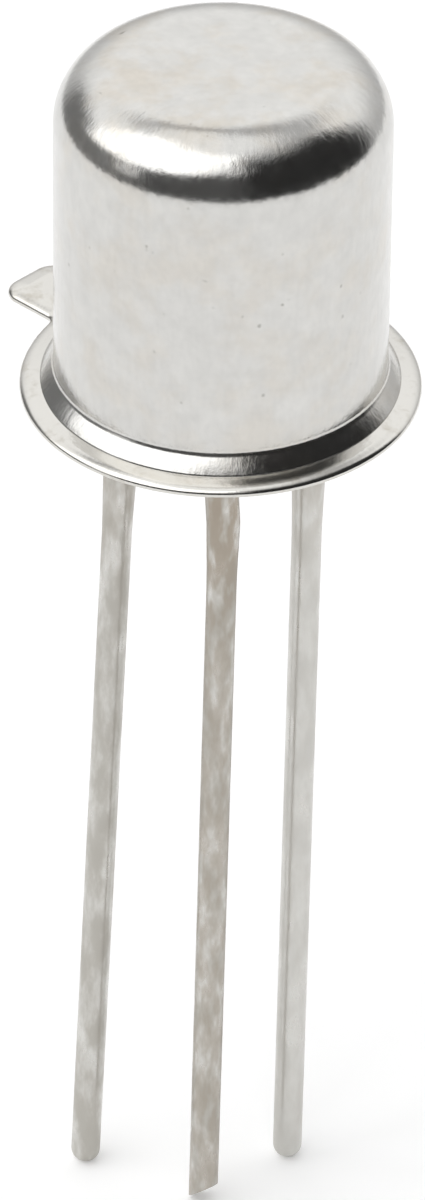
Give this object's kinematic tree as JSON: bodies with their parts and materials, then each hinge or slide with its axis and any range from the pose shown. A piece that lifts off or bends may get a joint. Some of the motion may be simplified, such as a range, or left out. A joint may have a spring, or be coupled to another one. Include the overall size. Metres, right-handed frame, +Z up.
{
  "type": "bipolar transistor",
  "caption": "Transistor sealed in a drawn metal can with an index tab on its flange and wire leads for soldering through a board.",
  "frame": {"origin": "centre of the seating plane, the underside of the header's flange", "axes": "+Z up the axis of the can, away from the leads; -X towards the emitter lead, -Y towards the base lead, +X towards the collector lead"},
  "size_m": [0.0058, 0.0057, 0.019],
  "materials": {
    "drawn_nickel": "satin",
    "plated_header": "satin",
    "seal_glass": "gloss",
    "tinned_wire": "matte",
    "silicon": "gloss",
    "gold_solder": "satin",
    "aluminium_film": "satin",
    "gold_wire": "gloss"
  },
  "bodies": {
    "root": {"cap": "drawn_nickel", "header": "plated_header", "glass_seal": "seal_glass", "emitter_lead": "tinned_wire", "base_lead": "tinned_wire", "collector_lead": "tinned_wire", "silicon_die": "silicon", "die_attach": "gold_solder", "emitter_pad": "aluminium_film", "base_pad": "aluminium_film", "emitter_bond_wire": "gold_wire", "base_bond_wire": "gold_wire"}
  },
  "joints": []
}
